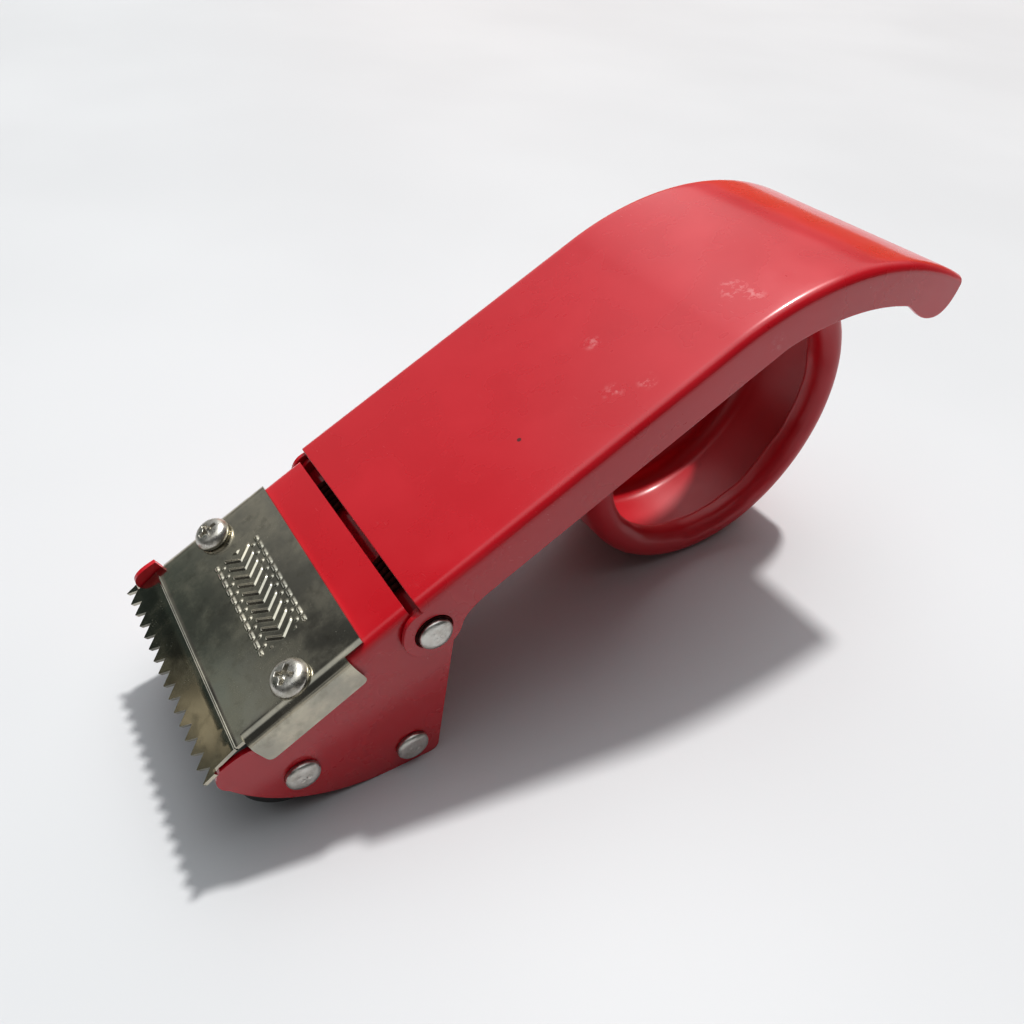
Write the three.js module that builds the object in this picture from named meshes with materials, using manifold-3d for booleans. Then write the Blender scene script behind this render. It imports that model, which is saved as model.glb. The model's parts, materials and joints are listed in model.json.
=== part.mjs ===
// Hand-held tape dispenser of folded sheet steel: a head with a toothed blade, two rollers, a drum for
// the tape's core on a plate behind it, and a curved handle arm hinged to the head.
// Millimetres. X points to the blade, Y to the open side of the drum, Z up. The origin is on the ground,
// in the middle of the footprint.
import * as THREE from "three";
import { mergeVertices } from "three/addons/utils/BufferGeometryUtils.js";
import Module from "manifold-3d";

const wasm = await Module();
wasm.setup();

// Driving dimensions ---------------------------------------------------------------------------------
const SHEET = 1.0; // thickness of the painted sheet
const REST_GAP = 0.1; // between faces that lie on each other
const RUN_GAP = 0.05; // radial clearance of a shaft in its hole
const WELD = 0.004; // edges shorter than this left by a cut are closed up

const HEAD_TILT = 28.3; // degrees the head's top slopes down to the front
const HEAD_HALF_WIDTH = 24.0; // outer half width, for a tape 45 mm wide
const HEAD_BEND = 2.0; // outer radius of the fold from top to side
const BLADE_REAR = [52.9, 37.67]; // X and Z of the blade's rear edge, on its upper face
const TOP_REAR = -8.5; // head's top plate, measured down the slope from the blade's rear edge
const TOP_FRONT = 23.2;

const BLADE_SHEET = 0.8;
const BLADE_LENGTH = 25.96; // from the rear edge to the bend line of the toothed lip
const LIP_TILT = 36.5;
const LIP_LENGTH = 7.6;
const NECK_FAR_WIDTH = 22.6; // lip from the middle to the far plate, whose nose stands beside it
const NECK_NEAR_WIDTH = 23.6; // lip from the middle out over the near plate's lower nose
const NECK_LENGTH = 5.0;
const TEETH_HALF_WIDTH = 24.4; // toothed strip in front of the side plates
const TOOTH_COUNT = 15;
const TOOTH_DEPTH = 2.4;
const REAR_HALF_WIDTH = 23.3; // blade behind its folded tabs
const TAB_START = 3.7; // folded tab of the blade, measured down the slope
const TAB_END = 24.3;
const TAB_DEPTH = 7.1;

const SOLE_RADIUS = 35.2; // curved lower edge of the side plates
const NEAR_NOSE = [-1.2, -1.2, -2.7]; // heights of a side plate's front edge, from the teeth back to the tab
const FAR_NOSE = [3.2, 2.3, 1.7];
const NOSE_TIP = [6.2, -1.8]; // end of that edge under the teeth, along the lip and off it
const HEEL_X = 39.3; // rear edge of the near side plate at its foot
const HEEL_ROUND = 2.4;
const SOLE_X = 48.9; // where that curve leaves the ground

const PIVOT = [40.75, 35.4];
const EAR_RADIUS = 5.7;
const EAR_SHOULDER = [46.0, 40.3]; // where the ear's front would meet the arm's front edge unrounded
const LUG_RADIUS = 5.2;
const BUSH_RADIUS = 3.5;
const AXLE_RADIUS = 2.0;

const ARM_TILT = 27.3;
const ARM_HALF_WIDTH = 25.4;
const ARM_BEND = 2.0;
const ARM_DEPTH = 9.3; // height of the arm's side flange
const ARM_FRONT = [43.82, 42.8]; // front edge of the arm's top face
const CREST = [-48.8, 14.1]; // centre of the curve over the handle's crest
const CREST_RADIUS = 68;
const CREST_DEPTH = 8.5; // height of the side flange over the crest

const DRUM = [-44.2, 37.5];
const DRUM_RADIUS = 37.5; // for a core of 76 mm bore
const DRUM_SHEET = 0.8;
const DRUM_RIM_Y = 5.0;
const RIM_ROLL = 3.6; // outer radius of the rim rolled inwards
const EYE_RADIUS = 37.0;
const EYE_HOLE = 28.5;
const DRUM_SHOULDER = 5.0; // outer radius of the bend from the drum's wall to its floor ring

const FRONT_AXLE = [66.15, 11.8];
const FRONT_ROLLER = 10.3;
const FRONT_CORE = 6.4;
const GUIDE_AXLE = [45.15, 5.4];
const GUIDE_ROLLER = 4.6;
const ROLLER_HALF = 22.4;

const SCREW_S = 12.85;
const SCREW_Y = 20.1;
const SCREW_HEAD = 3.5;
const SCREW_SHANK = 1.7;

const SPRING_WIRE = 0.6;
const SPRING_COIL = 4.3;
const SPRING_TURNS = 5;
const SPRING_LEGS = [9, 13]; // forward under the head's top, back under the arm
const LEG_RISES = [5, 8.6]; // degrees by which each leg slants up to its plate

// Helpers --------------------------------------------------------------------------------------------
const rad = THREE.MathUtils.degToRad;
const UP_Y = new THREE.Vector3(0, 1, 0);

// Point of the plane Y = 0 at a distance s down a slope and n off it, from a point [x, z].
function onSlope(from, tilt, s, n) {
  const c = Math.cos(rad(tilt));
  const k = Math.sin(rad(tilt));
  return [from[0] + s * c + n * k, from[1] - s * k + n * c];
}

const onHead = (s, n) => onSlope(BLADE_REAR, HEAD_TILT, s, n);
const onLip = (s, n) => onSlope(onHead(BLADE_LENGTH, 0), LIP_TILT, s, n);
const onArm = (s, n) => onSlope(ARM_FRONT, ARM_TILT, s, n);
const onCircle = (centre, r, degrees) => [
  centre[0] + r * Math.cos(rad(degrees)),
  centre[1] + r * Math.sin(rad(degrees)),
];

function toSolid(geometry) {
  const bare = geometry.index ? geometry.toNonIndexed() : geometry.clone();
  bare.deleteAttribute("normal");
  bare.deleteAttribute("uv");
  const merged = mergeVertices(bare, 1e-4);
  return new wasm.Manifold(
    new wasm.Mesh({
      numProp: 3,
      vertProperties: merged.attributes.position.array,
      triVerts: new Uint32Array(merged.index.array),
    }),
  );
}

function toGeometry(solid) {
  const mesh = solid.asOriginal().simplify(WELD).getMesh();
  const geometry = new THREE.BufferGeometry();
  geometry.setAttribute("position", new THREE.BufferAttribute(mesh.vertProperties, 3));
  geometry.setIndex(new THREE.BufferAttribute(mesh.triVerts, 1));
  const flat = geometry.toNonIndexed();
  flat.computeVertexNormals();
  return flat;
}

// Shape drawn in X and Z, made solid from y0 to y1.
function prism(shape, y0, y1, curveSegments = 12) {
  const geometry = new THREE.ExtrudeGeometry(shape, {
    depth: y1 - y0,
    bevelEnabled: false,
    curveSegments,
  });
  geometry.rotateX(Math.PI / 2);
  geometry.translate(0, y1, 0);
  return toSolid(geometry);
}

// Round solid about a line along Y, from its outline of [radius, y] points.
function turned(centre, outline, segments) {
  const points = outline.map(([r, y]) => new THREE.Vector2(r, y));
  const geometry = new THREE.LatheGeometry(points, segments);
  geometry.translate(centre[0], 0, centre[1]);
  return toSolid(geometry);
}

function rod(centre, radius, y0, y1, segments) {
  return turned(centre, [[0, y0], [radius, y0], [radius, y1], [0, y1]], segments);
}

function tube(centre, inner, outer, y0, y1, segments) {
  const ring = [[inner, y0], [outer, y0], [outer, y1], [inner, y1], [inner, y0]];
  return turned(centre, ring, segments);
}

// Closed polygon through [x, y] points.
function polygon(points) {
  return new THREE.Shape(points.map(([x, y]) => new THREE.Vector2(x, y)));
}

// Cross-section of a folded channel, open downwards, with its upper face at height 0.
function channelSection(halfWidth, bend, depth, thickness) {
  const shape = new THREE.Shape();
  const flat = halfWidth - bend;
  shape.moveTo(-halfWidth, -depth);
  shape.lineTo(-halfWidth + thickness, -depth);
  shape.absarc(-flat, -bend, bend - thickness, Math.PI, Math.PI / 2, true);
  shape.absarc(flat, -bend, bend - thickness, Math.PI / 2, 0, true);
  shape.lineTo(halfWidth - thickness, -depth);
  shape.lineTo(halfWidth, -depth);
  shape.absarc(flat, -bend, bend, 0, Math.PI / 2, false);
  shape.absarc(-flat, -bend, bend, Math.PI / 2, Math.PI, false);
  return shape;
}

// Frame whose first axis is Y, second the normal of a slope and third the way down it.
function slopeFrame(from, tilt) {
  const normal = new THREE.Vector3(Math.sin(rad(tilt)), 0, Math.cos(rad(tilt)));
  const down = new THREE.Vector3(Math.cos(rad(tilt)), 0, -Math.sin(rad(tilt)));
  const frame = new THREE.Matrix4().makeBasis(UP_Y, normal, down);
  return frame.setPosition(from[0], 0, from[1]);
}

function slopeChannel(section, from, tilt, s0, s1) {
  const geometry = new THREE.ExtrudeGeometry(section, {
    depth: s1 - s0,
    bevelEnabled: false,
    curveSegments: 5,
  });
  geometry.translate(0, 0, s0);
  geometry.applyMatrix4(slopeFrame(from, tilt));
  return toSolid(geometry);
}

// Frame ----------------------------------------------------------------------------------------------
// Front and sole of a side plate, from its rear corner on the ground to the lug round the pivot.
function plateFront(shape) {
  shape.moveTo(HEEL_X + HEEL_ROUND, 0);
  shape.lineTo(SOLE_X, 0);
  shape.absarc(SOLE_X, SOLE_RADIUS, SOLE_RADIUS, -Math.PI / 2, rad(-33.7), false);
  shape.quadraticCurveTo(80.5, 17.6, ...onLip(...NOSE_TIP));
  shape.lineTo(...onHead(TOP_FRONT, -3.5));
  shape.lineTo(...onHead(TOP_FRONT, 3));
  shape.lineTo(...onHead(TOP_REAR, 3));
  shape.absarc(...PIVOT, LUG_RADIUS, rad(49.3), rad(66.6), false);
}

// Rounded nose of a side plate, in front of the folded top and beside the neck of the lip.
function noseOutline([front, middle, rear]) {
  const shape = new THREE.Shape();
  shape.moveTo(...onLip(...NOSE_TIP));
  shape.lineTo(...onLip(NECK_LENGTH - 0.4, -1));
  shape.bezierCurveTo(...onLip(NECK_LENGTH, front), ...onLip(1, middle), ...onHead(TAB_END + 0.4, rear));
  shape.lineTo(...onHead(TAB_END + 0.4, -2.9));
  shape.lineTo(...onHead(TOP_FRONT - 1, -3));
  shape.lineTo(...onHead(TOP_FRONT - 1, -6));
  return shape;
}

function nearPlateOutline() {
  const shape = new THREE.Shape();
  plateFront(shape);
  shape.absarc(...PIVOT, LUG_RADIUS, rad(66.6), rad(186.7), false);
  shape.lineTo(HEEL_X, HEEL_ROUND);
  shape.quadraticCurveTo(HEEL_X, 0, HEEL_X + HEEL_ROUND, 0);
  return shape;
}

// The far plate runs back to the eye that carries the drum.
function farPlateOutline() {
  const shape = new THREE.Shape();
  plateFront(shape);
  shape.lineTo(...onCircle(DRUM, EYE_RADIUS, 66.6));
  shape.absarc(...DRUM, EYE_RADIUS, rad(66.6), rad(322), false);
  shape.bezierCurveTo(-2.5, 30, 28.5, 34, HEEL_X - 0.5, 6);
  shape.lineTo(HEEL_X, HEEL_ROUND);
  shape.quadraticCurveTo(HEEL_X, 0, HEEL_X + HEEL_ROUND, 0);
  shape.holes.push(new THREE.Path().absarc(...DRUM, EYE_HOLE, 0, 2 * Math.PI, true));
  return shape;
}

// Hole for a blade screw, square to the head's top.
function screwHole(y, radius, n0, n1) {
  const geometry = new THREE.CylinderGeometry(radius, radius, n1 - n0, 16);
  geometry.translate(0, (n0 + n1) / 2, 0);
  geometry.applyMatrix4(slopeFrame(onHead(SCREW_S, 0), HEAD_TILT));
  geometry.translate(0, y, 0);
  return toSolid(geometry);
}

function makeFrame() {
  const top = -(BLADE_SHEET + REST_GAP);
  const section = channelSection(HEAD_HALF_WIDTH, HEAD_BEND, 110, SHEET);
  const channel = slopeChannel(section, onHead(0, top), HEAD_TILT, -150, 40);
  const near = channel.intersect(prism(nearPlateOutline(), 0, HEAD_HALF_WIDTH + 1, 18));
  const far = channel.intersect(prism(farPlateOutline(), -HEAD_HALF_WIDTH - 1, 0, 30));
  const inner = HEAD_HALF_WIDTH - SHEET;
  let frame = near.add(far);
  frame = frame.add(prism(noseOutline(NEAR_NOSE), inner, HEAD_HALF_WIDTH, 6));
  frame = frame.add(prism(noseOutline(FAR_NOSE), -HEAD_HALF_WIDTH, -inner, 6));
  for (const y of [-SCREW_Y, SCREW_Y]) {
    frame = frame.add(screwHole(y, 2.7, top - 2.4, top - SHEET / 2));
    frame = frame.subtract(screwHole(y, SCREW_SHANK + RUN_GAP, -8, 3));
  }
  for (const centre of [PIVOT, FRONT_AXLE, GUIDE_AXLE])
    frame = frame.subtract(rod(centre, AXLE_RADIUS + RUN_GAP, -30, 30, 20));
  return frame;
}

// Drum: pressed ring with its near rim rolled inwards and a narrow floor ring against the eye.
function makeDrum() {
  const rollY = DRUM_RIM_Y - RIM_ROLL;
  const rollR = DRUM_RADIUS - RIM_ROLL;
  const farY = -HEAD_HALF_WIDTH + SHEET + REST_GAP;
  const inside = RIM_ROLL - DRUM_SHEET;
  const shoulder = [DRUM_RADIUS - DRUM_SHOULDER, farY + DRUM_SHOULDER];
  const outline = [[EYE_HOLE + 0.4, farY]];
  for (let i = 0; i <= 5; i++)
    outline.push(onCircle(shoulder, DRUM_SHOULDER, -90 + i * 18));
  for (let i = 0; i <= 7; i++) {
    const [r, y] = onCircle([rollR, rollY], RIM_ROLL, (i * 180) / 7);
    outline.push([r, y]);
  }
  outline.push([rollR - RIM_ROLL + 0.4, -1.2], [rollR - RIM_ROLL + 1.1, -1.0]);
  for (let i = 5; i >= 0; i--) {
    const [r, y] = onCircle([rollR, rollY], inside, (i * 180) / 5);
    outline.push([r, y]);
  }
  for (let i = 0; i <= 5; i++)
    outline.push(onCircle(shoulder, DRUM_SHOULDER - DRUM_SHEET, -i * 18));
  outline.push([EYE_HOLE + 0.4, farY + DRUM_SHEET]);
  outline.push(outline[0]);
  return turned(DRUM, outline, 52);
}

// Arm ------------------------------------------------------------------------------------------------
// Line down the middle of the arm's top face, from in front of the ears back over the crest.
class ArmLine extends THREE.Curve {
  constructor() {
    super();
    this.ahead = 2 * EAR_RADIUS;
    this.straight = ARM_FRONT[0] - onCircle(CREST, CREST_RADIUS, 90 - ARM_TILT)[0];
    this.straight /= Math.cos(rad(ARM_TILT));
    this.bent = CREST_RADIUS * rad(2 * ARM_TILT);
  }
  getPoint(t, target = new THREE.Vector3()) {
    const along = t * (this.ahead + this.straight + this.bent) - this.ahead;
    if (along < this.straight) {
      const [x, z] = onArm(-along, 0);
      return target.set(x, 0, z);
    }
    const degrees = 90 - ARM_TILT + ((along - this.straight) / this.bent) * 2 * ARM_TILT;
    const [x, z] = onCircle(CREST, CREST_RADIUS, degrees);
    return target.set(x, 0, z);
  }
}

function armOutline() {
  const shape = new THREE.Shape();
  const low = CREST_RADIUS - CREST_DEPTH;
  const high = CREST_RADIUS + 3;
  const from = 90 - ARM_TILT;
  const to = 90 + ARM_TILT;
  shape.moveTo(...onArm(0, 3));
  shape.lineTo(...onArm(0, -2.3));
  shape.quadraticCurveTo(...EAR_SHOULDER, ...onCircle(PIVOT, EAR_RADIUS, 12));
  shape.absarc(...PIVOT, EAR_RADIUS, rad(12), rad(-170), true);
  shape.quadraticCurveTo(34.7, 36.9, ...onArm(-10.8, -ARM_DEPTH));
  shape.lineTo(...onArm(-69, -ARM_DEPTH));
  shape.quadraticCurveTo(...onArm(-74, -ARM_DEPTH), ...onCircle(CREST, low, from + 10));
  shape.absarc(...CREST, low, rad(from + 10), rad(104.5), false);
  shape.bezierCurveTo(-66.8, 70.1, -69.2, 67.1, -74, 67.1);
  shape.quadraticCurveTo(-78, 67.4, ...onCircle(CREST, CREST_RADIUS - 1.6, to));
  shape.lineTo(...onCircle(CREST, high, to));
  shape.absarc(...CREST, high, rad(to), rad(from), true);
  return shape;
}

function makeArm() {
  const section = channelSection(ARM_HALF_WIDTH, ARM_BEND, 24, SHEET);
  const geometry = new THREE.ExtrudeGeometry(section, {
    extrudePath: new ArmLine(),
    steps: 36,
    curveSegments: 5,
  });
  const channel = toSolid(geometry);
  const outline = prism(armOutline(), -ARM_HALF_WIDTH - 1, ARM_HALF_WIDTH + 1, 20);
  const hole = rod(PIVOT, BUSH_RADIUS + RUN_GAP, -40, 40, 28);
  return channel.intersect(outline).subtract(hole);
}

// Blade ----------------------------------------------------------------------------------------------
function tabOutline() {
  const shape = new THREE.Shape();
  const corner = 1.2;
  shape.moveTo(...onHead(TAB_START, 3));
  shape.lineTo(...onHead(TAB_START, -TAB_DEPTH + corner));
  shape.quadraticCurveTo(...onHead(TAB_START, -TAB_DEPTH), ...onHead(TAB_START + corner, -TAB_DEPTH));
  shape.lineTo(...onHead(TAB_END - corner, -TAB_DEPTH));
  shape.quadraticCurveTo(...onHead(TAB_END, -TAB_DEPTH), ...onHead(TAB_END, -TAB_DEPTH + corner));
  shape.lineTo(...onHead(TAB_END, 3));
  return shape;
}

// Side view of the flat sheet behind the tabs, which is narrower than the fold.
function rearStrip() {
  return polygon([onHead(-1, -2), onHead(TAB_START + 1, -2), onHead(TAB_START + 1, 1), onHead(-1, 1)]);
}

// Side view of the lip and of the flat sheet between the tabs and its bend.
function neckStrip() {
  const bend = LIP_TILT - HEAD_TILT;
  const inner = BLADE_SHEET * Math.tan(rad(bend / 2));
  return polygon([
    onHead(TAB_END - 0.3, -BLADE_SHEET),
    onHead(BLADE_LENGTH - inner, -BLADE_SHEET),
    onLip(LIP_LENGTH, -BLADE_SHEET),
    onLip(LIP_LENGTH, 0),
    onHead(BLADE_LENGTH, 0),
    onHead(TAB_END - 0.3, 0),
  ]);
}

function teethStrip() {
  return polygon([
    onLip(NECK_LENGTH, -BLADE_SHEET),
    onLip(LIP_LENGTH, -BLADE_SHEET),
    onLip(LIP_LENGTH, 0),
    onLip(NECK_LENGTH, 0),
  ]);
}

// Notch between two teeth, cut square through the lip.
function toothNotch(y, halfPitch) {
  const root = LIP_LENGTH - TOOTH_DEPTH;
  const beyond = 0.4;
  const half = (halfPitch * (TOOTH_DEPTH + beyond)) / TOOTH_DEPTH;
  const shape = polygon([
    [y - half, LIP_LENGTH + beyond],
    [y, root],
    [y + half, LIP_LENGTH + beyond],
  ]);
  const geometry = new THREE.ExtrudeGeometry(shape, { depth: 4, bevelEnabled: false });
  geometry.translate(0, 0, -2);
  geometry.applyMatrix4(new THREE.Matrix4().makeRotationX(Math.PI / 2));
  geometry.applyMatrix4(slopeFrame(onLip(0, 0), LIP_TILT));
  return toSolid(geometry);
}

function makeBlade() {
  const half = HEAD_HALF_WIDTH + REST_GAP + BLADE_SHEET;
  const bend = HEAD_BEND + REST_GAP + BLADE_SHEET;
  const section = channelSection(half, bend, 20, BLADE_SHEET);
  const cap = slopeChannel(section, onHead(0, 0), HEAD_TILT, 0, TAB_END + 5);
  const rear = prism(rearStrip(), -REAR_HALF_WIDTH, REAR_HALF_WIDTH);
  let blade = cap.intersect(prism(tabOutline(), -half - 1, half + 1, 4).add(rear));
  blade = blade.add(prism(neckStrip(), -NECK_FAR_WIDTH, NECK_NEAR_WIDTH));
  blade = blade.add(prism(teethStrip(), -TEETH_HALF_WIDTH, TEETH_HALF_WIDTH));
  const pitch = (2 * TEETH_HALF_WIDTH) / TOOTH_COUNT;
  for (let i = 0; i < TOOTH_COUNT; i++)
    blade = blade.subtract(toothNotch(-TEETH_HALF_WIDTH + (i + 0.5) * pitch, pitch / 2));
  for (const y of [-SCREW_Y, SCREW_Y])
    blade = blade.subtract(screwHole(y, SCREW_SHANK + RUN_GAP, -3, 3));
  return blade;
}

// Pan-head screw with a cross recess, driven into the head's top.
function makeScrew(y) {
  const outline = [
    [0, -6.5],
    [0.9, -6.5],
    [SCREW_SHANK, -5.2],
    [SCREW_SHANK, REST_GAP],
    [SCREW_HEAD, REST_GAP],
    [SCREW_HEAD, 0.9],
    [SCREW_HEAD - 0.5, 1.6],
    [SCREW_HEAD - 1.6, 2.2],
    [0, 2.5],
  ];
  const points = outline.map(([r, n]) => new THREE.Vector2(r, n));
  let screw = toSolid(new THREE.LatheGeometry(points, 20));
  for (const [a, b] of [[0.9, 4.0], [4.0, 0.9]]) {
    const slot = new THREE.BoxGeometry(a, 2.6, b);
    slot.translate(0, 2.6, 0);
    slot.rotateY(rad(y * 2));
    screw = screw.subtract(toSolid(slot));
  }
  const geometry = toGeometry(screw);
  geometry.applyMatrix4(slopeFrame(onHead(SCREW_S, 0), HEAD_TILT));
  geometry.translate(0, y, 0);
  return geometry;
}

// Axles and rollers ----------------------------------------------------------------------------------
// Pin riveted over at both ends: low domed heads outside a half width.
function makeRivetAxle(centre, halfWidth, headRadius, headHeight) {
  const side = [
    [AXLE_RADIUS, halfWidth],
    [headRadius, halfWidth],
    [headRadius, halfWidth + 0.5 * headHeight],
    [headRadius - 0.5, halfWidth + 0.85 * headHeight],
    [0, halfWidth + headHeight],
  ];
  const other = side.map(([r, y]) => [r, -y]).reverse();
  return turned(centre, [...other, ...side], 20);
}

function makeFrontSleeve() {
  const edge = 0.8;
  const half = ROLLER_HALF - 0.4;
  const outline = [
    [FRONT_CORE + RUN_GAP, -half],
    [FRONT_ROLLER - edge, -half],
    [FRONT_ROLLER, -half + edge],
    [FRONT_ROLLER, half - edge],
    [FRONT_ROLLER - edge, half],
    [FRONT_CORE + RUN_GAP, half],
    [FRONT_CORE + RUN_GAP, -half],
  ];
  return turned(FRONT_AXLE, outline, 40);
}

const makeFrontCore = () =>
  tube(FRONT_AXLE, AXLE_RADIUS + RUN_GAP, FRONT_CORE, -ROLLER_HALF, ROLLER_HALF, 24);

const makeGuideRoller = () =>
  tube(GUIDE_AXLE, AXLE_RADIUS + RUN_GAP, GUIDE_ROLLER, -ROLLER_HALF, ROLLER_HALF, 24);

// Thin washer between a roller's end and a side plate.
function makeWasher(centre, outer, side) {
  const y0 = ROLLER_HALF + REST_GAP;
  const y1 = HEAD_HALF_WIDTH - SHEET - REST_GAP;
  const [low, high] = side > 0 ? [y0, y1] : [-y1, -y0];
  return tube(centre, AXLE_RADIUS + RUN_GAP, outer, low, high, 24);
}

// Distance tube that keeps the side plates apart at the pivot.
function makeSpacer() {
  const half = HEAD_HALF_WIDTH - SHEET - REST_GAP;
  return tube(PIVOT, AXLE_RADIUS + RUN_GAP, 3.1, -half, half, 24);
}

// Shoulder bush between a side plate and the axle's head, on which an ear of the arm turns.
function makeBush(side) {
  const inner = HEAD_HALF_WIDTH + REST_GAP;
  const outer = ARM_HALF_WIDTH + REST_GAP;
  const [y0, y1] = side > 0 ? [inner, outer] : [-outer, -inner];
  return tube(PIVOT, AXLE_RADIUS + RUN_GAP, BUSH_RADIUS, y0, y1, 28);
}

// Torsion spring round the distance tube: one leg under the head's top, the other under the arm.
class SpringLine extends THREE.Curve {
  constructor(side) {
    super();
    this.side = side;
    this.start = 90 - HEAD_TILT + LEG_RISES[0];
    this.turn = 360 * SPRING_TURNS + 90 - ARM_TILT - LEG_RISES[1] - this.start;
    this.pitch = 2 * SPRING_WIRE + 0.25;
    this.coil = SPRING_COIL * rad(this.turn);
  }
  getPoint(t, target = new THREE.Vector3()) {
    const along = t * (SPRING_LEGS[0] + this.coil + SPRING_LEGS[1]) - SPRING_LEGS[0];
    const on = Math.min(Math.max(along, 0), this.coil);
    const degrees = this.start + (on / this.coil) * this.turn;
    const y = this.side * (16 - (on / this.coil) * this.pitch * SPRING_TURNS);
    const [x, z] = onCircle(PIVOT, SPRING_COIL, degrees);
    const past = along - on;
    return target.set(x - past * Math.sin(rad(degrees)), y, z + past * Math.cos(rad(degrees)));
  }
}

function makeSpring(side) {
  const wire = new THREE.Shape();
  wire.absarc(0, 0, SPRING_WIRE, 0, 2 * Math.PI, false);
  return toSolid(
    new THREE.ExtrudeGeometry(wire, {
      extrudePath: new SpringLine(side),
      steps: 76,
      curveSegments: 3,
    }),
  );
}

// Assembly -------------------------------------------------------------------------------------------
const paint = { color: 0xb0141f, roughness: 0.28, metalness: 0.0 };
const nickel = { color: 0x9c9580, roughness: 0.25, metalness: 1.0 };
const zinc = { color: 0xb9b5a6, roughness: 0.32, metalness: 1.0 };
const steel = { color: 0x55524c, roughness: 0.4, metalness: 1.0 };
const rubber = { color: 0x141414, roughness: 0.85, metalness: 0.0 };
const plastic = { color: 0xd8d4c8, roughness: 0.5, metalness: 0.0 };

const group = new THREE.Group();
group.name = "tape_dispenser";

function addPart(name, shape, look) {
  const geometry = shape.isBufferGeometry ? shape : toGeometry(shape);
  const mesh = new THREE.Mesh(geometry, new THREE.MeshStandardMaterial(look));
  mesh.name = name;
  group.add(mesh);
}

addPart("frame", makeFrame(), paint);
addPart("drum", makeDrum(), paint);
addPart("handle_arm", makeArm(), paint);
addPart("blade", makeBlade(), nickel);
addPart("blade_screw_near", makeScrew(SCREW_Y), zinc);
addPart("blade_screw_far", makeScrew(-SCREW_Y), zinc);
addPart("pivot_axle", makeRivetAxle(PIVOT, ARM_HALF_WIDTH + 2 * REST_GAP, 3.1, 1.1), zinc);
addPart("pivot_spacer", makeSpacer(), paint);
addPart("pivot_bush_near", makeBush(1), steel);
addPart("pivot_bush_far", makeBush(-1), steel);
addPart("pivot_spring_near", makeSpring(1), steel);
addPart("pivot_spring_far", makeSpring(-1), steel);
addPart("front_axle", makeRivetAxle(FRONT_AXLE, HEAD_HALF_WIDTH + REST_GAP, 3.2, 1.2), zinc);
addPart("front_roller_core", makeFrontCore(), plastic);
addPart("front_roller_sleeve", makeFrontSleeve(), rubber);
addPart("front_washer_near", makeWasher(FRONT_AXLE, 4.4, 1), steel);
addPart("front_washer_far", makeWasher(FRONT_AXLE, 4.4, -1), steel);
addPart("guide_axle", makeRivetAxle(GUIDE_AXLE, HEAD_HALF_WIDTH + REST_GAP, 3.2, 1.2), zinc);
addPart("guide_roller", makeGuideRoller(), plastic);
addPart("guide_washer_near", makeWasher(GUIDE_AXLE, 4.0, 1), steel);
addPart("guide_washer_far", makeWasher(GUIDE_AXLE, 4.0, -1), steel);

export default group;
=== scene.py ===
"""Hand-held tape dispenser of folded red sheet steel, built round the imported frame.

Shapes are drawn in millimetres in the frame's own axes: X to the teeth, Y to the drum's open side, Z up.
"""
import json
import math

import bmesh
import bpy
import numpy as np
from mathutils import Matrix, Vector
from mathutils.geometry import delaunay_2d_cdt


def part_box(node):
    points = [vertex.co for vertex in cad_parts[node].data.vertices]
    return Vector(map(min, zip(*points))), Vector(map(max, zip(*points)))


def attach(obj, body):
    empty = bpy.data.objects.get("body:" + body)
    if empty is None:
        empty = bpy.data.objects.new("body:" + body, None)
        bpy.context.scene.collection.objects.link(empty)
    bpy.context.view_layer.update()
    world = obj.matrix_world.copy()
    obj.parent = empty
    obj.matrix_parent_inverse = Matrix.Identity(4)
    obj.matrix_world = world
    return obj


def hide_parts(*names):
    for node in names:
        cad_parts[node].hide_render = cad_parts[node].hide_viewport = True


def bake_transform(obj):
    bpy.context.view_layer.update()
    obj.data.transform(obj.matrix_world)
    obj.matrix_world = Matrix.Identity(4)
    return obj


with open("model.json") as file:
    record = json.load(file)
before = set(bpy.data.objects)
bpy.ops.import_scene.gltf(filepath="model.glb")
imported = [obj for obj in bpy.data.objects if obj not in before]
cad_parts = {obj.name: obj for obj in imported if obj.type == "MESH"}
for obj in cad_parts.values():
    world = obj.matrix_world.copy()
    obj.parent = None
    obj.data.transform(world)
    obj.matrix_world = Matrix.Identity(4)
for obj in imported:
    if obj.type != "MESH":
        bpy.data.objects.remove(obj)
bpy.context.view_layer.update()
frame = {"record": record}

# Driving dimensions, in millimetres and degrees ------------------------------------------------------
MM = 0.001
SHEET = 1.0
HEAD_TILT = 28.3
HEAD_HALF = 24.0
HEAD_BEND = 2.0
TOP_REAR = -8.5
TOP_FRONT = 23.2
BLADE_SHEET = 0.8
BLADE_LENGTH = 25.96
BLADE_STAND = BLADE_SHEET + 0.1  # blade's upper face above the head's top
LIP_TILT = 36.5
LIP_LENGTH = 7.6
NECK_HALF = 22.7  # far side, beside the far nose
NECK_NEAR = 23.6  # near side, over the near nose
NECK_LENGTH = 5.0
TEETH_HALF = 24.4
TOOTH_COUNT = 15
TOOTH_DEPTH = 2.4
REAR_HALF = 23.3
TAB_START = 3.7
TAB_END = 24.3
TAB_DEPTH = 7.1
NOSE_TIP = (6.2, -1.8)
NEAR_NOSE = (-1.2, -1.2, -2.7)  # heights of the plate's front edge from the teeth back to the tab
FAR_NOSE = (3.2, 2.3, 1.7)
SOLE_RADIUS = 35.2
SOLE_X = 48.9
HEEL_X = 39.3
HEEL_ROUND = 2.4
EAR_RADIUS = 5.7
LUG_RADIUS = 5.2
BUSH_RADIUS = 3.5
ARM_TILT = 27.3
ARM_HALF = 25.4
ARM_BEND = 2.0
ARM_DEPTH = 9.3
CREST_RADIUS = 68.0
CREST_DEPTH = 8.5
DRUM_RADIUS = 37.5
DRUM_SHEET = 0.8
RIM_Y = 5.0
RIM_ROLL = 3.6
EYE_RADIUS = 37.0
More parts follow.
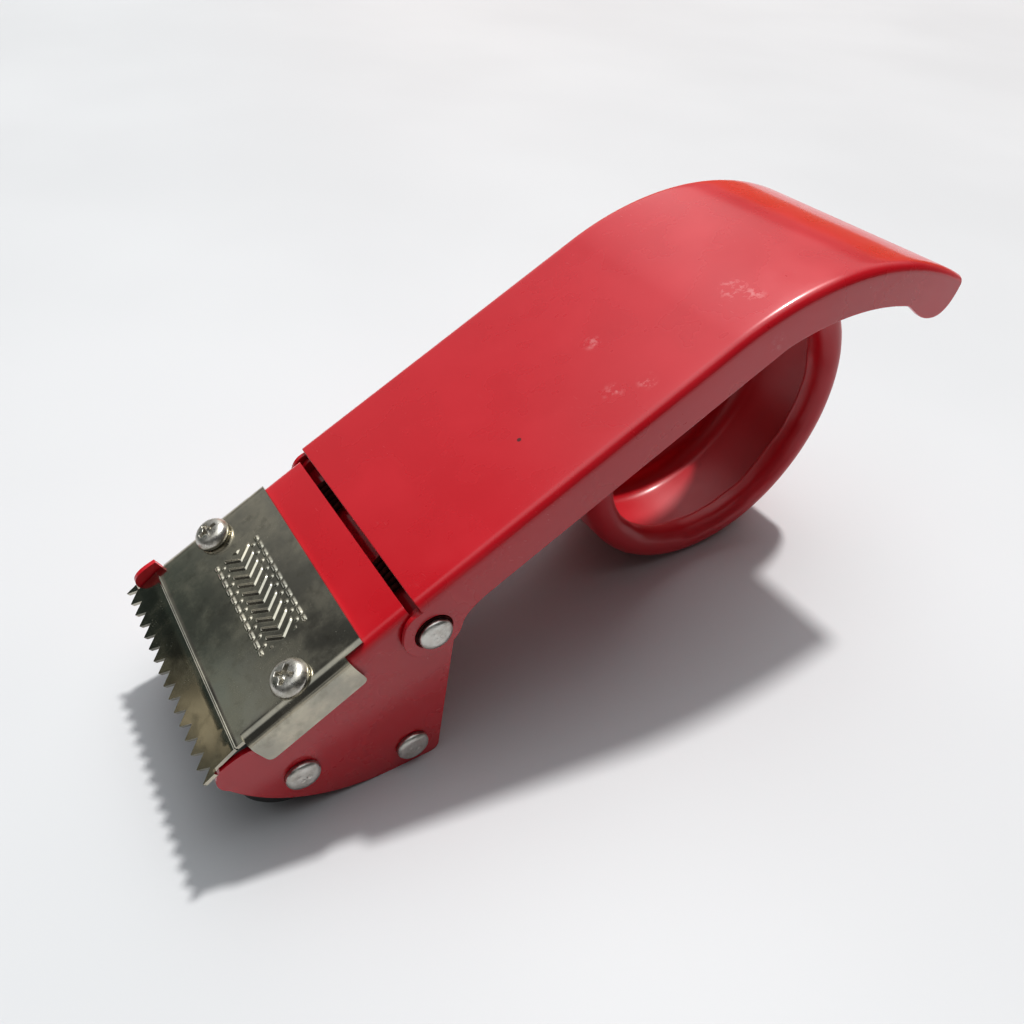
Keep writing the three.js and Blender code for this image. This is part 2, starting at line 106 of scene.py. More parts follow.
EYE_HOLE = 28.5
DRUM_SHOULDER = 5.0
SCREW_S = 12.85
SCREW_Y = 20.1
SCREW_HEAD = 3.5
EDGE = 0.2  # rounding of cut sheet edges
# Marks on the arm: distance back from its front edge, y, depth below its top face and reach
CHIP = (31.5, 10.5, 0, 0.6)
RUBS = (
    (78.5, 13.5, 0, 3.4),
    (80, 17.5, 0, 2.6),
    (54, 3, 0, 2.2),
    (49, 15.5, 0, 2.6),
    (54.5, 18.5, 0, 2.4),
    (78, ARM_HALF, 5.5, 2.4),
)
CAMERA_PLACE = (86.4, 112.1, 143.4)
CAMERA_TURN = (50.3, 145.4)  # up from straight down, and round from looking along +Y
CAMERA_ROLL = 3.8
CAMERA_LENS = 30.1
SUN_TOWARDS = (-0.34, -0.23, 0.91)


def joint_place(name):
    """X and Z of a joint's axis, in millimetres."""
    for joint in frame["record"]["behaviour"]["joints"]:
        if joint["name"] == name:
            return (joint["pos_m"][0] / MM, joint["pos_m"][2] / MM)
    raise KeyError(name)


PIVOT = joint_place("handle_pivot")
FRONT_AXLE = joint_place("front_roller_spin")
GUIDE_AXLE = joint_place("guide_roller_spin")
BLADE_REAR = (PIVOT[0] + 12.15, PIVOT[1] + 2.27)
ARM_FRONT = (PIVOT[0] + 3.07, PIVOT[1] + 7.4)
drum_low, drum_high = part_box("drum")
DRUM = ((drum_low.x + drum_high.x) / 2 / MM, (drum_low.z + drum_high.z) / 2 / MM)
CREST = (DRUM[0] - 4.6, DRUM[1] - 23.4)


# Points and outlines ---------------------------------------------------------------------------------
def rad(degrees):
    return math.radians(degrees)


def on_slope(start, tilt, s, n):
    """Point s down a slope and n off it, from start, as (x, z)."""
    c = math.cos(rad(tilt))
    k = math.sin(rad(tilt))
    return (start[0] + s * c + n * k, start[1] - s * k + n * c)


def on_head(s, n):
    return on_slope(BLADE_REAR, HEAD_TILT, s, n)


def on_lip(s, n):
    return on_slope(on_head(BLADE_LENGTH, 0), LIP_TILT, s, n)


def on_arm(s, n):
    return on_slope(ARM_FRONT, ARM_TILT, s, n)


def on_circle(centre, radius, degrees):
    return (centre[0] + radius * math.cos(rad(degrees)), centre[1] + radius * math.sin(rad(degrees)))


def spread(start, end, count):
    """count + 1 numbers from start to end."""
    return [start + (end - start) * i / count for i in range(count + 1)]


class Outline:
    """Flat outline drawn as lines, arcs and curves, cut into steps of about a given length."""

    def __init__(self, start, step=0.7):
        self.points = [tuple(start)]
        self.step = step

    def _add(self, place, length):
        count = max(2, round(length / self.step))
        for i in range(1, count + 1):
            self.points.append(place(i / count))
        return self

    def line(self, end):
        a = self.points[-1]
        length = math.dist(a, end)
        if length < 1e-6:
            return self
        return self._add(lambda t: (a[0] + (end[0] - a[0]) * t, a[1] + (end[1] - a[1]) * t), length)

    def arc(self, centre, radius, start, end):
        self.line(on_circle(centre, radius, start))
        length = radius * abs(rad(end - start))
        return self._add(lambda t: on_circle(centre, radius, start + (end - start) * t), length)

    def curve(self, control, end):
        a = self.points[-1]
        third = [(a[i] + 2 * control[i]) / 3 for i in (0, 1)]
        other = [(end[i] + 2 * control[i]) / 3 for i in (0, 1)]
        return self.bezier(third, other, end)

    def bezier(self, b, c, end):
        a = self.points[-1]

        def place(t):
            u = 1 - t
            weights = (u * u * u, 3 * u * u * t, 3 * u * t * t, t * t * t)
            corners = (a, b, c, end)
            return tuple(sum(w * corner[i] for w, corner in zip(weights, corners)) for i in (0, 1))

        return self._add(place, math.dist(a, b) + math.dist(b, c) + math.dist(c, end))

    def through(self, points):
        """Takes given points as they are, so that they can be shared with a neighbour."""
        for point in points:
            if math.dist(point, self.points[-1]) > 1e-6:
                self.points.append(tuple(point))
        return self

    def closed(self):
        if math.dist(self.points[0], self.points[-1]) < 1e-6:
            return self.points[:-1]
        return self.points


def circle(centre, radius, count=48):
    return [on_circle(centre, radius, 360 * i / count) for i in range(count)]


# Meshes ----------------------------------------------------------------------------------------------
def inside(points, loops):
    """Which points lie inside an odd number of loops."""
    x, y = points[:, 0], points[:, 1]
    odd = np.zeros(len(points), bool)
    for loop in loops:
        a = np.array(loop)
        b = np.roll(a, -1, axis=0)
        for (ax, ay), (bx, by) in zip(a, b):
            if ay == by:
                continue
            crosses = (ay > y) != (by > y)
            odd ^= crosses & (x < (bx - ax) * (y - ay) / (by - ay) + ax)
    return odd


def fill(outline, holes, spacing):
    """Flat region cut into triangles, with inner points on a hexagonal grid."""
    loops = [outline, *holes]
    border = np.array([point for loop in loops for point in loop])
    edges = []
    start = 0
    for loop in loops:
        count = len(loop)
        edges += [(start + i, start + (i + 1) % count) for i in range(count)]
        start += count
    low, high = border.min(axis=0), border.max(axis=0)
    rows = np.arange(low[1] + spacing / 2, high[1], spacing * 0.866)
    grid = []
    for i, row in enumerate(rows):
        columns = np.arange(low[0] + (i % 2) * spacing / 2, high[0], spacing)
        grid += [(column, row) for column in columns]
    grid = np.array(grid).reshape(-1, 2)
    grid = grid[inside(grid, loops)]
    if len(grid):
        gaps = ((grid[:, None, :] - border[None, :, :]) ** 2).sum(axis=2).min(axis=1)
        grid = grid[gaps > (0.6 * spacing) ** 2]
    points = [Vector(point) for point in np.vstack([border, grid])]
    out, _, faces, _, _, _ = delaunay_2d_cdt(points, edges, [], 0, 1e-5)
    middles = np.array([sum((out[i] for i in face), Vector((0, 0))) / len(face) for face in faces])
    keep = inside(middles, loops)
    return [tuple(p) for p in out], [face for face, good in zip(faces, keep) if good]


class Sheet:
    """One side of a folded sheet, put together from patches that share their edges."""

    def __init__(self):
        self.points = []
        self.faces = []

    def patch(self, outline, holes, place, spacing=2.2):
        points, faces = fill(outline, holes, spacing)
        start = len(self.points)
        self.points += [place(*point) for point in points]
        self.faces += [[start + i for i in face] for face in faces]

    def grid(self, rows):
        """Quads between rows of points of equal length."""
        start = len(self.points)
        width = len(rows[0])
        for row in rows:
            self.points += row
        for i in range(len(rows) - 1):
            for j in range(width - 1):
                a = start + i * width + j
                self.faces.append([a, a + 1, a + width + 1, a + width])

    def build(self, name, weld=0.004):
        bm = bmesh.new()
        verts = [bm.verts.new(Vector(point)) for point in self.points]
        for face in self.faces:
            bm.faces.new([verts[i] for i in face])
        bmesh.ops.remove_doubles(bm, verts=bm.verts, dist=weld)
        bmesh.ops.dissolve_degenerate(bm, dist=1e-5, edges=bm.edges)
        bmesh.ops.recalc_face_normals(bm, faces=bm.faces)
        top = max(bm.faces, key=lambda face: face.calc_center_median().z)
        if top.normal.z < 0:
            bmesh.ops.reverse_faces(bm, faces=bm.faces)
        return to_object(bm, name)


def to_object(bm, name):
    """Object in metres from a mesh in millimetres, shaded smooth."""
    bmesh.ops.scale(bm, vec=(MM, MM, MM), verts=bm.verts)
    mesh = bpy.data.meshes.new(name)
    bm.to_mesh(mesh)
    bm.free()
    mesh.shade_smooth()
    obj = bpy.data.objects.new(name, mesh)
    bpy.context.scene.collection.objects.link(obj)
    return obj


def thicken(obj, thickness, edge=EDGE):
    """Gives a sheet its thickness and rounds its cut edges."""
    solid = obj.modifiers.new("thickness", "SOLIDIFY")
    solid.thickness = thickness * MM
    solid.offset = -1
    solid.use_even_offset = True
    round_edges(obj, edge)


def round_edges(obj, width, angle=50, segments=3):
    bevel = obj.modifiers.new("rounded_edges", "BEVEL")
    bevel.limit_method = "ANGLE"
    bevel.angle_limit = rad(angle)
    bevel.width = width * MM
    bevel.segments = segments
    bevel.use_clamp_overlap = True
    bevel.harden_normals = True


def lathe(name, centre, outline, segments=96, height=None):
    """Round solid about a line along Y, from its closed outline of (radius, y) points."""
    bm = bmesh.new()
    rings = []
    for k in range(segments):
        turn = 360 * k / segments
        ring = []
        for i, (radius, y) in enumerate(outline):
            r, along = (radius, y) if height is None else height(radius, y, i, turn)
            x, z = on_circle(centre, r, turn)
            ring.append(bm.verts.new((x, along, z)))
        rings.append(ring)
    count = len(outline)
    for k in range(segments):
        a, b = rings[k], rings[(k + 1) % segments]
        for i in range(count):
            j = (i + 1) % count
            bm.faces.new([a[i], b[i], b[j], a[j]])
    bmesh.ops.remove_doubles(bm, verts=bm.verts, dist=1e-4)
    bmesh.ops.dissolve_degenerate(bm, dist=1e-5, edges=bm.edges)
    bmesh.ops.recalc_face_normals(bm, faces=bm.faces)
    return to_object(bm, name)


def rounded(points, radius, count=4):
    """Closed (radius, y) outline with every corner off the axis rounded."""
    out = []
    total = len(points)
    for i, corner in enumerate(points):
        if corner[0] < 1e-6:
            out.append(corner)
            continue
        before, after = Vector(points[i - 1]), Vector(points[(i + 1) % total])
        here = Vector(corner)
        reach = min(radius, (before - here).length * 0.45, (after - here).length * 0.45)
        a = here + (before - here).normalized() * reach
        b = here + (after - here).normalized() * reach
        for t in spread(0, 1, count):
            point = a * (1 - t) ** 2 + here * 2 * t * (1 - t) + b * t * t
            out.append((point.x, point.y))
    return out


# Materials -------------------------------------------------------------------------------------------
class Nodes:
    """Short way to write the nodes of a procedural material or of the world."""

    def __init__(self, name, world=False):
        self.owner = (bpy.data.worlds if world else bpy.data.materials).new(name)
        self.owner.use_nodes = True
        self.tree = self.owner.node_tree
        self.shader = self.tree.nodes.get("Principled BSDF")
        self.place = self.add("ShaderNodeTexCoord").outputs["Generated" if world else "Object"]

    def add(self, kind, inputs=None, **settings):
        node = self.tree.nodes.new(kind)
        for key, value in settings.items():
            setattr(node, key, value)
        for key, value in (inputs or {}).items():
            self.give(node.inputs[key], value)
        return node

    def give(self, socket, value):
        if isinstance(value, bpy.types.NodeSocket):
            self.tree.links.new(value, socket)
        else:
            socket.default_value = value

    def set(self, **inputs):
        for key, value in inputs.items():
            self.give(self.shader.inputs[key.replace("_", " ")], value)

    def stretched(self, scale, turn=(0, 0, 0)):
        """Object coordinates in millimetres, turned and then scaled."""
        turned = self.add("ShaderNodeMapping", {"Vector": self.place, "Rotation": [rad(a) for a in turn]})
        sizes = [value / MM for value in scale]
        return self.add("ShaderNodeMapping", {"Vector": turned.outputs[0], "Scale": sizes}).outputs[0]

    def noise(self, scale, detail=3.0, rough=0.5, turn=(0, 0, 0)):
        """Noise with a number of cells per millimetre along each axis."""
        sizes = (scale, scale, scale) if isinstance(scale, (int, float)) else scale
        vector = self.stretched(sizes, turn)
        settings = {"Vector": vector, "Scale": 1.0, "Detail": detail, "Roughness": rough}
        return self.add("ShaderNodeTexNoise", settings).outputs["Fac"]

    def ramp(self, value, low, high, out_low=0.0, out_high=1.0):
        limits = {"Value": value, "From Min": low, "From Max": high, "To Min": out_low, "To Max": out_high}
        return self.add("ShaderNodeMapRange", limits, interpolation_type="SMOOTHSTEP").outputs[0]

    def math(self, operation, a, b):
        return self.add("ShaderNodeMath", {0: a, 1: b}, operation=operation).outputs[0]

    def mix(self, factor, a, b):
        node = self.add("ShaderNodeMix", data_type="RGBA")
        self.give(node.inputs[0], factor)
        self.give(node.inputs[6], a)
        self.give(node.inputs[7], b)
        return node.outputs[2]

    def towards(self, *direction):
        """Cosine of the angle between the place, taken as a direction, and a given one."""
        inputs = {0: self.place, 1: Vector(direction).normalized()}
        return self.add("ShaderNodeVectorMath", inputs, operation="DOT_PRODUCT").outputs["Value"]

    def near(self, place, reach):
        """1 at a place given in millimetres, falling to 0 at its reach."""
        inputs = {0: self.place, 1: Vector(place) * MM}
        away = self.add("ShaderNodeVectorMath", inputs, operation="DISTANCE").outputs["Value"]
        return self.ramp(away, reach * MM, 0.2 * reach * MM)

    def bump(self, height, depth, normal=None):
        """Bump whose height of 1 stands for a depth in millimetres."""
        inputs = {"Height": height, "Distance": depth * MM, "Strength": 1.0}
        if normal is not None:
            inputs["Normal"] = normal
        return self.add("ShaderNodeBump", inputs).outputs[0]

    def scratches(self, turn, density, width):
        """Mask of thin straight scratches along one direction."""
        lines = self.noise((0.02, density, density), 2.0, 0.6, turn)
        patches = self.noise(0.09, 2.0, 0.5, (turn[2], 20, turn[0]))
        thin = self.ramp(lines, 0.72 - width, 0.72)
        return self.math("MULTIPLY", thin, self.ramp(patches, 0.5, 0.66))


def srgb(r, g, b):
    """Linear colour from 0 to 255 screen values."""
    linear = []
    for value in (r, g, b):
        v = value / 255
        linear.append(((v + 0.055) / 1.055) ** 2.4 if value > 10 else v / 12.92)
    return (*linear, 1.0)


def red_enamel(name, coat, dullness):
    """Enamel whose clear coat and roughness differ between the polished sheets and the drum."""
    n = Nodes(name)
    tone = n.ramp(n.noise(0.03, 4.0), 0.3, 0.7)
    base = n.mix(tone, srgb(187, 12, 31), srgb(196, 17, 37))
    rubbed = 0.0
    for mark in RUBS:
        rubbed = n.math("MAXIMUM", rubbed, n.near(*arm_mark(*mark)))
    scuffs = n.math("MULTIPLY", rubbed, n.ramp(n.noise(0.7, 5.0, 0.7), 0.47, 0.62))
    scratch = n.math("MAXIMUM", n.scratches((0, 27, 12), 3.0, 0.04), n.scratches((0, 27, 80), 3.4, 0.03))
    worn = n.math("ADD", n.math("MULTIPLY", scuffs, 0.55), n.math("MULTIPLY", scratch, 0.08))
    base = n.mix(worn, base, srgb(212, 140, 140))
    base = n.mix(n.ramp(n.near(*arm_mark(*CHIP)), 0.2, 0.5), base, srgb(90, 20, 20))
    haze = n.ramp(n.noise(0.06, 4.0, 0.6), 0.35, 0.7, 0.24, 0.36)
    rough = n.math("ADD", n.math("ADD", haze, dullness), n.math("MULTIPLY", worn, 0.5))
    peel = n.bump(n.noise(0.9, 2.0, 0.5), 0.005)
    waves = n.bump(n.noise(0.045, 2.0, 0.4), 0.1, peel)
    n.set(Base_Color=base, Roughness=rough, Coat_Weight=coat, Coat_Roughness=0.09 + dullness)
    n.set(Normal=waves, Coat_Normal=waves)
    return n.owner


def bright_nickel():
    n = Nodes("bright_nickel")
    cloud = n.ramp(n.noise(0.13, 5.0, 0.62), 0.36, 0.66)
    stain = n.ramp(n.noise(0.35, 4.0, 0.6, (30, 10, 50)), 0.52, 0.72)
    base = n.mix(cloud, srgb(170, 167, 155), srgb(198, 192, 175))
    base = n.mix(n.math("MULTIPLY", stain, 0.4), base, srgb(140, 135, 122))
    streaks = n.noise((0.06, 2.2, 2.2), 3.0, 0.6, (0, HEAD_TILT, 38))
    fine = n.noise((3.5, 0.12, 3.5), 3.0, 0.6, (0, HEAD_TILT, 0))
    along = n.scratches((0, HEAD_TILT, 35), 4.0, 0.06)
    across = n.scratches((0, 28, -50), 5.0, 0.05)
    scratch = n.math("MAXIMUM", along, across)
    rough = n.math("ADD", n.ramp(cloud, 0.0, 1.0, 0.12, 0.21), n.math("MULTIPLY", scratch, 0.25))
    waves = n.bump(n.noise(0.07, 2.0, 0.5), 0.05)
    lines = n.math("ADD", n.math("MULTIPLY", streaks, 0.5), n.math("MULTIPLY", fine, 0.5))
    grain = n.bump(lines, 0.003, waves)
    cuts = n.bump(n.math("SUBTRACT", 1.0, scratch), 0.004, grain)
    n.set(Base_Color=base, Metallic=1.0, Roughness=rough, Normal=cuts)
    return n.owner


def plated_steel(name, light, dark, rough):
    n = Nodes(name)
    cloud = n.ramp(n.noise(0.5, 4.0, 0.6), 0.35, 0.68)
    base = n.mix(cloud, light, dark)
    pits = n.ramp(n.noise(3.2, 3.0, 0.6), 0.3, 0.7)
    shine = n.ramp(n.noise(0.8, 3.0), 0.3, 0.7, rough - 0.07, rough + 0.1)
    n.set(Base_Color=base, Metallic=1.0, Roughness=shine, Normal=n.bump(pits, 0.012))
    return n.owner


def black_rubber():
    n = Nodes("black_rubber")
    dust = n.ramp(n.noise(0.2, 4.0, 0.6), 0.45, 0.75)
    base = n.mix(dust, srgb(20, 20, 20), srgb(52, 50, 48))
    ground = n.noise((2.6, 0.3, 2.6), 3.0, 0.6)
    n.set(Base_Color=base, Roughness=n.ramp(dust, 0, 1, 0.55, 0.8), Normal=n.bump(ground, 0.03))
    return n.owner


def moulded_plastic():
    n = Nodes("moulded_plastic")
    tone = n.ramp(n.noise(0.15, 4.0), 0.3, 0.7)
    base = n.mix(tone, srgb(214, 208, 194), srgb(196, 189, 172))
    grain = n.noise(2.4, 3.0, 0.6)
    n.set(Base_Color=base, Roughness=n.ramp(grain, 0.2, 0.8, 0.42, 0.6), Normal=n.bump(grain, 0.01))
    return n.owner


def floor_paint():
    n = Nodes("pale_floor")
    tone = n.ramp(n.noise(0.004, 3.0), 0.3, 0.7)
    base = n.mix(tone, srgb(197, 198, 200), srgb(202, 203, 205))
    n.set(Base_Color=base, Roughness=0.5, Specular_IOR_Level=0.25)
    return n.owner


# Frame -----------------------------------------------------------------------------------------------
def fold_row(s_place, side, half, bend, top, count=7, last=90):
    """Points over a fold at one station; s_place(n) gives (x, z) at a height n."""
    row = []
    for angle in spread(0, last, count):
        y = side * (half - bend + bend * math.sin(rad(angle)))
        x, z = s_place(top - bend * (1 - math.cos(rad(angle))))
        row.append((x, y, z))
    return row


def plate_front(outline, nose):
    """Sole, nose and the line under the fold, shared by both side plates."""
    under = -BLADE_STAND - HEAD_BEND
    outline.line((SOLE_X, 0))
    outline.arc((SOLE_X, SOLE_RADIUS), SOLE_RADIUS, -90, -33.7)
    outline.curve((80.5, 17.6), on_lip(*NOSE_TIP))
    outline.line(on_lip(NECK_LENGTH - 0.4, -1))
    rear = on_head(TAB_END + 0.4, nose[2])
    outline.bezier(on_lip(NECK_LENGTH, nose[0]), on_lip(1, nose[1]), rear)
    outline.line(on_head(TAB_END + 0.4, under))
    outline.through([on_head(s, under) for s in reversed(top_stations())])
    outline.arc(PIVOT, LUG_RADIUS, 62, 66.6)


def top_stations():
    return spread(TOP_REAR, TOP_FRONT, 30)


def heel(outline):
    outline.line((HEEL_X, HEEL_ROUND))
    outline.curve((HEEL_X, 0), (HEEL_X + HEEL_ROUND, 0))


def make_frame():
    sheet = Sheet()
    half = HEAD_HALF
    flat = half - HEAD_BEND
    rows = []
    for s in top_stations():
        x, z = on_head(s, -BLADE_STAND)
        far = fold_row(lambda n: on_head(s, n), -1, half, HEAD_BEND, -BLADE_STAND)
        near = fold_row(lambda n: on_head(s, n), 1, half, HEAD_BEND, -BLADE_STAND)
        middle = [(x, y, z) for y in spread(-flat, flat, 24)][1:-1]
        rows.append(list(reversed(far)) + middle + near)
    sheet.grid(rows)

    near = Outline((HEEL_X + HEEL_ROUND, 0))
    plate_front(near, NEAR_NOSE)
    near.arc(PIVOT, LUG_RADIUS, 66.6, 186.7)
    heel(near)
    sheet.patch(near.closed(), [], lambda x, z: (x, half, z))

    far = Outline((HEEL_X + HEEL_ROUND, 0))
    plate_front(far, FAR_NOSE)
    far.line(on_circle(DRUM, EYE_RADIUS, 66.6))
    far.arc(DRUM, EYE_RADIUS, 66.6, 322)
    far.bezier((-2.5, 30), (28.5, 34), (HEEL_X - 0.5, 6))
    heel(far)
    eye = circle(DRUM, EYE_HOLE, 240)
    sheet.patch(far.closed(), [eye], lambda x, z: (x, -half, z))

    obj = sheet.build("red_frame")
    thicken(obj, SHEET)
    return obj


def make_screw_collar(side, name):
    """Collar drawn down from the head's top for a screw's thread."""
    top = -BLADE_STAND - SHEET + 0.15
    outline = [(1.75, top), (2.7, top), (2.7, top - 1.5), (1.75, top - 1.5)]
    obj = lathe(name, (0, 0), rounded(outline, 0.2, 2), 48)
    obj.data.transform(head_matrix(SCREW_S, side * SCREW_Y))
    return obj


def head_matrix(s, y):
    """Turns something lathed about Y so that it stands on the head's slope."""
    x, z = on_head(s, 0)
    tilt = Matrix.Rotation(rad(HEAD_TILT), 4, "Y")
    lift = Matrix.Rotation(rad(90), 4, "X")
    return Matrix.Translation(Vector((x, y, z)) * MM) @ tilt @ lift


# Drum ------------------------------------------------------------------------------------------------
def make_drum():
    """Pressed ring; its near rim is rolled inwards and ends in a wavy raw edge."""
    far = -HEAD_HALF + SHEET + 0.1
    roll_r = DRUM_RADIUS - RIM_ROLL
    roll_y = RIM_Y - RIM_ROLL
    inner = RIM_ROLL - DRUM_SHEET
    shoulder = (DRUM_RADIUS - DRUM_SHOULDER, far + DRUM_SHOULDER)
    outer_side = [(EYE_HOLE + 0.4, far)]
    outer_side += [on_circle(shoulder, DRUM_SHOULDER, a) for a in spread(-90, 0, 14)]
    outer_side += [(DRUM_RADIUS, y) for y in spread(shoulder[1], roll_y, 12)][1:-1]
    roll = [on_circle((roll_r, roll_y), RIM_ROLL, a) for a in spread(0, 168, 22)]
    mouth = roll_r - RIM_ROLL
    lip = [(mouth + 0.15, 0.2), (mouth + 0.5, -0.7), (mouth + 0.8, -1.2)]
    edge = [(mouth + 1.15, -1.25), (mouth + 1.4, -0.9)]
    back = [on_circle((roll_r, roll_y), inner, a) for a in spread(185, 0, 20)]
    inside_wall = [(DRUM_RADIUS - DRUM_SHEET, y) for y in spread(roll_y, shoulder[1], 12)][1:]
    floor = [on_circle(shoulder, DRUM_SHOULDER - DRUM_SHEET, a) for a in spread(0, -90, 14)][1:]
    floor.append((EYE_HOLE + 0.4, far + DRUM_SHEET))
    outline = outer_side + roll + lip + edge + back + inside_wall + floor
    first = len(outer_side) + 14
    last = len(outer_side) + len(roll) + len(lip) + len(edge) + 5

    def wavy(radius, y, i, turn):
        if not first < i < last:
            return radius, y
        ease = math.sin(math.pi * (i - first) / (last - first))
        a = rad(turn)
        wave = 0.5 * math.sin(7 * a + 0.6) + 0.35 * math.sin(13 * a + 2.0) + 0.25 * math.sin(23 * a + 4.1)
        return radius + 0.18 * ease * wave, y - 0.42 * ease * wave

    return lathe("red_drum", DRUM, outline, 288, wavy)


# Arm -------------------------------------------------------------------------------------------------
def arm_stations():
    """Distances back from the front edge, and the length of the straight part."""
    crest_start = on_circle(CREST, CREST_RADIUS, 90 - ARM_TILT)
    straight = (ARM_FRONT[0] - crest_start[0]) / math.cos(rad(ARM_TILT))
    bent = CREST_RADIUS * rad(2 * ARM_TILT)
    return spread(0, straight, 48) + spread(straight, straight + bent, 72)[1:], straight


def arm_place(along, n, straight):
    """(x, z) at a distance back along the arm's top face and a height n off it."""
    if along <= straight:
        return on_arm(-along, n)
    degrees = 90 - ARM_TILT + math.degrees((along - straight) / CREST_RADIUS)
    return on_circle(CREST, CREST_RADIUS + n, degrees)


def arm_mark(along, y, depth, reach):
    """Place and reach of a mark on the arm."""
    x, z = arm_place(along, -depth, arm_stations()[1])
    return (x, y, z), reach


def arm_flange(stations, straight):
    """Outline of a side flange with its ear, in X and Z."""
    turn_in = 90 - ARM_TILT
    low = CREST_RADIUS - CREST_DEPTH
    edge = [arm_place(a, -ARM_BEND, straight) for a in stations]
    outline = Outline(edge[0])
    outline.curve((PIVOT[0] + 5.25, PIVOT[1] + 4.9), on_circle(PIVOT, EAR_RADIUS, 12))
    outline.arc(PIVOT, EAR_RADIUS, 12, -170)
    outline.curve((PIVOT[0] - 6.05, PIVOT[1] + 1.5), on_arm(-10.8, -ARM_DEPTH))
    outline.line(on_arm(-69, -ARM_DEPTH))
    outline.curve(on_arm(-74, -ARM_DEPTH), on_circle(CREST, low, turn_in + 10))
    outline.arc(CREST, low, turn_in + 10, 104.5)
    hook = (CREST[0] - 25.2, CREST[1] + 53.0)
    outline.bezier((CREST[0] - 18.0, CREST[1] + 56.0), (CREST[0] - 20.4, CREST[1] + 53.0), hook)
    outline.curve((CREST[0] - 29.2, CREST[1] + 53.3), edge[-1])
    outline.through(list(reversed(edge))[:-1])
    return outline.closed()


def make_arm():
    stations, straight = arm_stations()
    flat = ARM_HALF - ARM_BEND
    sheet = Sheet()
    rows = []
    for a in stations:
        x, z = arm_place(a, 0, straight)
        far = fold_row(lambda n: arm_place(a, n, straight), -1, ARM_HALF, ARM_BEND, 0, 8)
        near = fold_row(lambda n: arm_place(a, n, straight), 1, ARM_HALF, ARM_BEND, 0, 8)
        middle = [(x, y, z) for y in spread(-flat, flat, 26)][1:-1]
        rows.append(list(reversed(far)) + middle + near)
    sheet.grid(rows)
    outline = arm_flange(stations, straight)
    hole = circle(PIVOT, BUSH_RADIUS + 0.05, 60)
    for side in (-1, 1):
        sheet.patch(outline, [hole], lambda x, z, y=side * ARM_HALF: (x, y, z))
    obj = sheet.build("red_handle_arm")
    thicken(obj, SHEET)
    return obj


# Blade -----------------------------------------------------------------------------------------------
EMBOSS_S = (5.2, 16.2)
EMBOSS_Y = (-13.6, 12.8)
EMBOSS_RISE = 0.26
CREASE_RISE = 0.1  # height of the pinched line along the bend


def step_down(distance, edge, soft):
    """1 inside an edge and 0 outside it, with a soft step of a given width between."""
    t = min(1.0, max(0.0, (edge + soft / 2 - distance) / soft))
    return t * t * (3 - 2 * t)


def mound(distance, width):
    """Smooth rounded ridge, 1 at its middle and 0 past its width."""
    t = min(1.0, max(0.0, distance / width))
    return (1 - t * t) ** 2


def emboss(s, y):
    """Height of a plain pattern of dashed lines, chevrons and dots pressed up from below."""
    u = s - (EMBOSS_S[0] + EMBOSS_S[1]) / 2
    v = y - (EMBOSS_Y[0] + EMBOSS_Y[1]) / 2
    half_u = (EMBOSS_S[1] - EMBOSS_S[0]) / 2 - 0.9
    half_v = (EMBOSS_Y[1] - EMBOSS_Y[0]) / 2 - 0.9
    pitch = 2.4
    height = 0.0
    if abs(v) < half_v:
        dash = 0.5 + 0.5 * math.cos(2 * math.pi * v / pitch)
        height = mound(abs(abs(u) - half_u), 0.5) * min(1, 2 * dash)
        bent = (v + 0.8 * abs(u)) / pitch
        chevron = abs(bent - round(bent)) * pitch
        ends = step_down(abs(u), half_u - 1.9, 0.4)
        height = max(height, ends * mound(chevron, 0.55))
        along = (v - pitch / 2) / pitch
        dot = math.hypot(abs(u) - half_u + 1.15, (along - round(along)) * pitch)
        height = max(height, 0.9 * mound(dot, 0.5))
    return EMBOSS_RISE * height


def blade_columns():
    """Signed distances across the flat top, closer together over the pressed pattern."""
    flat = HEAD_HALF - HEAD_BEND
    low = spread(-flat, EMBOSS_Y[0], 10)
    fine = spread(EMBOSS_Y[0], EMBOSS_Y[1], 210)
    return low[:-1] + fine + spread(EMBOSS_Y[1], flat, 10)[1:]


def bend_station(s):
    """(x, z) along the blade's upper face, through the rounded bend into the lip, at depth n."""
    reach = 0.3  # half the length of the bend
    turn = rad(LIP_TILT - HEAD_TILT)
    if s <= BLADE_LENGTH - reach:
        return lambda n: on_head(s, n)
    if s >= BLADE_LENGTH + reach:
        return lambda n: on_lip(s - BLADE_LENGTH, n)
    t = (s - BLADE_LENGTH + reach) / (2 * reach)
    a, b, c = on_head(BLADE_LENGTH - reach, 0), on_head(BLADE_LENGTH, 0), on_lip(reach, 0)
    point = [a[i] * (1 - t) ** 2 + 2 * b[i] * t * (1 - t) + c[i] * t * t for i in (0, 1)]
    crease = CREASE_RISE * mound(abs(t - 0.5), 0.5)
    return lambda n: on_slope(point, HEAD_TILT + math.degrees(turn) * t, 0, n + crease)


